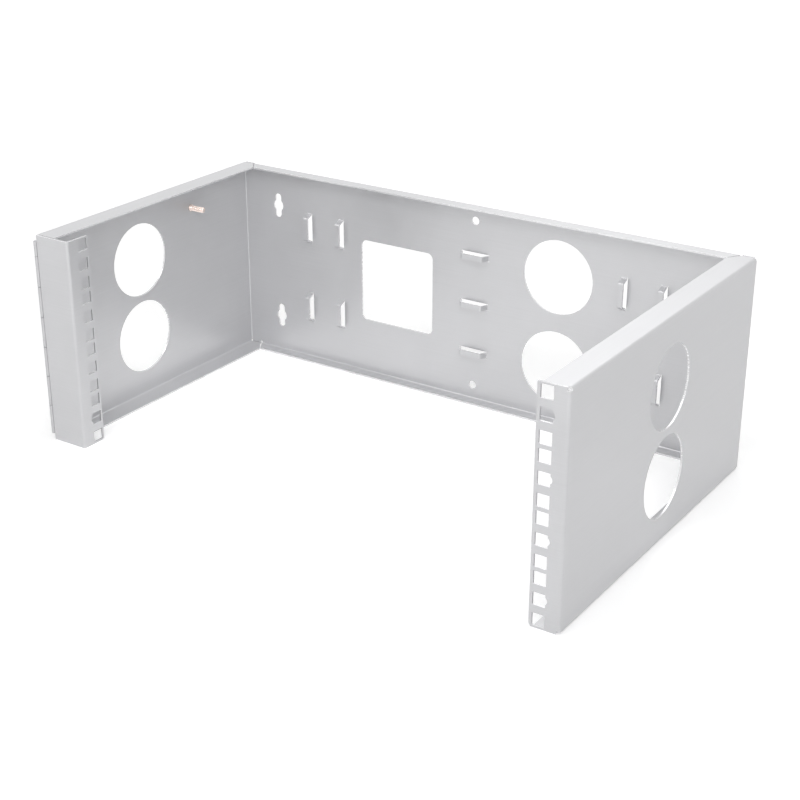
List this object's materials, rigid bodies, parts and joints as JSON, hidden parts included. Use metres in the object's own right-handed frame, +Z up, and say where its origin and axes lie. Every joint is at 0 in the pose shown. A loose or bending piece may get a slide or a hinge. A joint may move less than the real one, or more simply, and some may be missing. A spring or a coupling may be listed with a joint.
{
  "type": "hinged wall-mount rack frame",
  "caption": "Folded steel wall frame for rack panels: deep sides with cable ports, a keyholed back with tie bridges, and a hole rail that swings out on a piano hinge.",
  "frame": {"origin": "middle of the face that lies on the wall, half way between the top and bottom edges", "axes": "+X to the right along the wall as seen from the front, +Y into the wall, +Z up"},
  "size_m": [0.499, 0.3, 0.1778],
  "materials": {
    "sheet": "satin light grey plating",
    "hinge": "satin plating",
    "pin": "drawn steel",
    "stud": "copper flash"
  },
  "bodies": {
    "bracket": {"wall_bracket": "sheet", "hinge_leaf_fixed": "hinge", "hinge_pin": "pin", "ground_stud": "stud"},
    "rail": {"swing_rail": "sheet", "hinge_leaf_moving": "hinge"}
  },
  "joints": [
    {"name": "rail_hinge", "type": "hinge", "parent": "bracket", "child": "rail", "pos_m": [-0.24835, -0.26435, 0], "axis": [0, 0, -1], "range_deg": [0, 220]}
  ]
}
